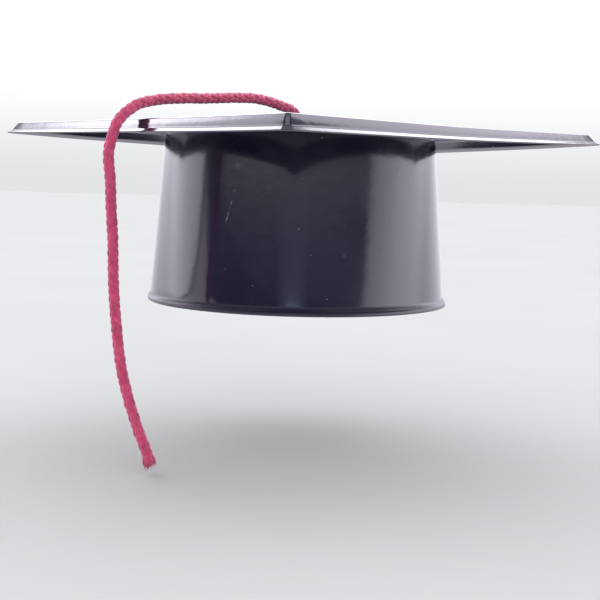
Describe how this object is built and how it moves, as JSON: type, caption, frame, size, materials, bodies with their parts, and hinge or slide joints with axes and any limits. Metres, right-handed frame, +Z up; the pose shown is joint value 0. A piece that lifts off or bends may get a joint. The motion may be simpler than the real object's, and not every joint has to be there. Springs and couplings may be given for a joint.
{
  "type": "graduation cap",
  "caption": "Square-board graduation cap in thin glossy plastic, with a tapered closed-top crown, a flared rim and a braided cord that arches over one side and hangs free.",
  "frame": {"origin": "centre of the crown's lower opening, in the plane of the rim", "axes": "+Z up, from the rim to the board; -Y towards the board's front corner, over the wearer's face; +X towards the wearer's left"},
  "size_m": [0.3556, 0.3556, 0.1976],
  "materials": {
    "cap_plastic": "polished black moulded sheet",
    "adhesive": "pale cured adhesive",
    "cord": "crimson braided yarn"
  },
  "bodies": {
    "cap": {"crown_shell": "cap_plastic", "board_shell": "cap_plastic", "adhesive_ring": "adhesive"},
    "cord": {"cord_over_board": "cord", "cord_knot": "cord"},
    "cord_end": {"cord_hanging": "cord"}
  },
  "joints": [
    {"name": "cord_swivel", "type": "hinge", "parent": "cap", "child": "cord", "pos_m": [0, 0, 0.1012], "axis": [0, 0, 1], "range_deg": [-12, 10]},
    {"name": "cord_swing", "type": "hinge", "parent": "cord", "child": "cord_end", "pos_m": [-0.09461, -0.09631, 0.0906], "axis": [-0.7071, 0.7071, 0], "range_deg": [-15, 75]}
  ]
}
